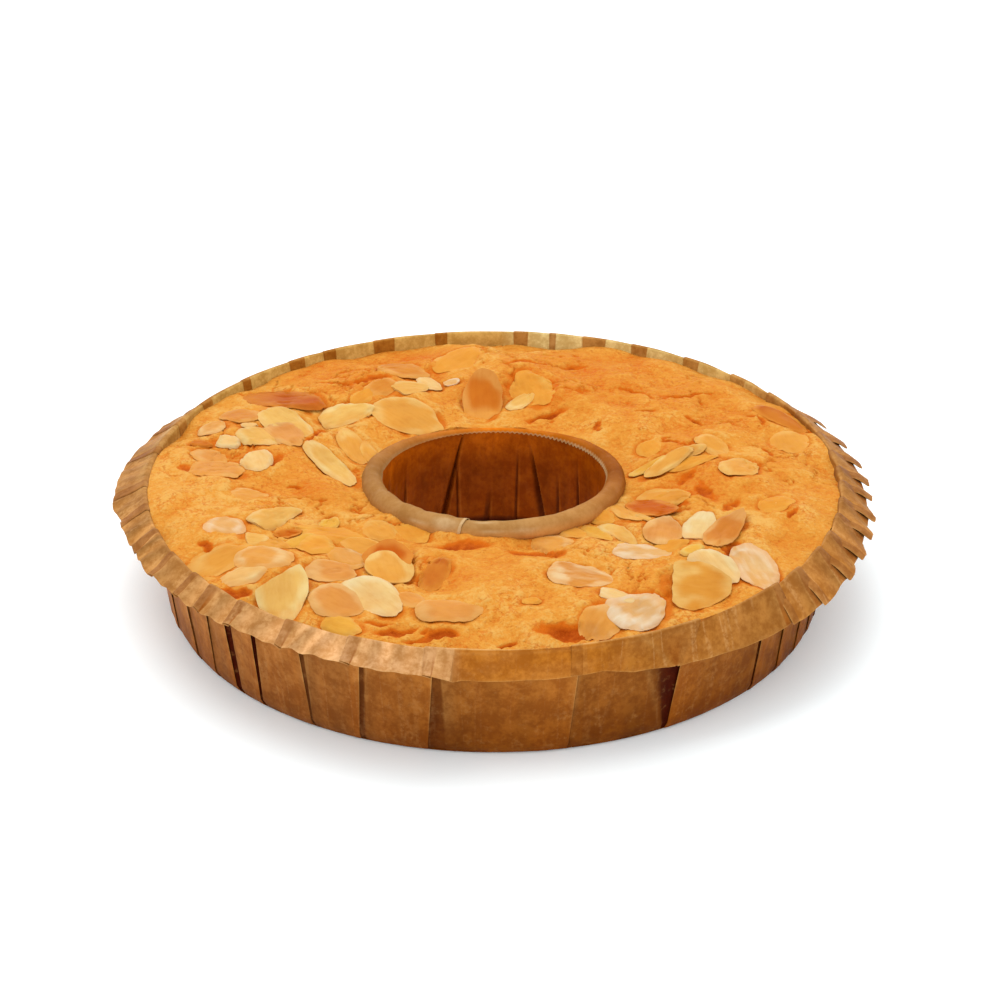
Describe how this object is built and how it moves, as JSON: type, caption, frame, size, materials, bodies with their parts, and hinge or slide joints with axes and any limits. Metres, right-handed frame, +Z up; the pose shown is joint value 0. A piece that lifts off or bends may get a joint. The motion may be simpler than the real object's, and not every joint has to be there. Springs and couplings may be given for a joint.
{
  "type": "almond torte",
  "caption": "Ring-shaped sponge cake topped with flaked almonds, in its pleated brown paper baking case with a rolled paper tube through the middle.",
  "frame": {"origin": "on the floor under the middle of the centre hole", "axes": "+Z up out of the cake, -Y towards the front that the picture shows"},
  "size_m": [0.2414, 0.2295, 0.0505],
  "materials": {
    "sponge": "matte",
    "case_paper": "satin",
    "tube_paper": "satin"
  },
  "bodies": {
    "root": {"cake": "sponge", "paper_case": "case_paper", "centre_tube": "tube_paper"}
  },
  "joints": []
}
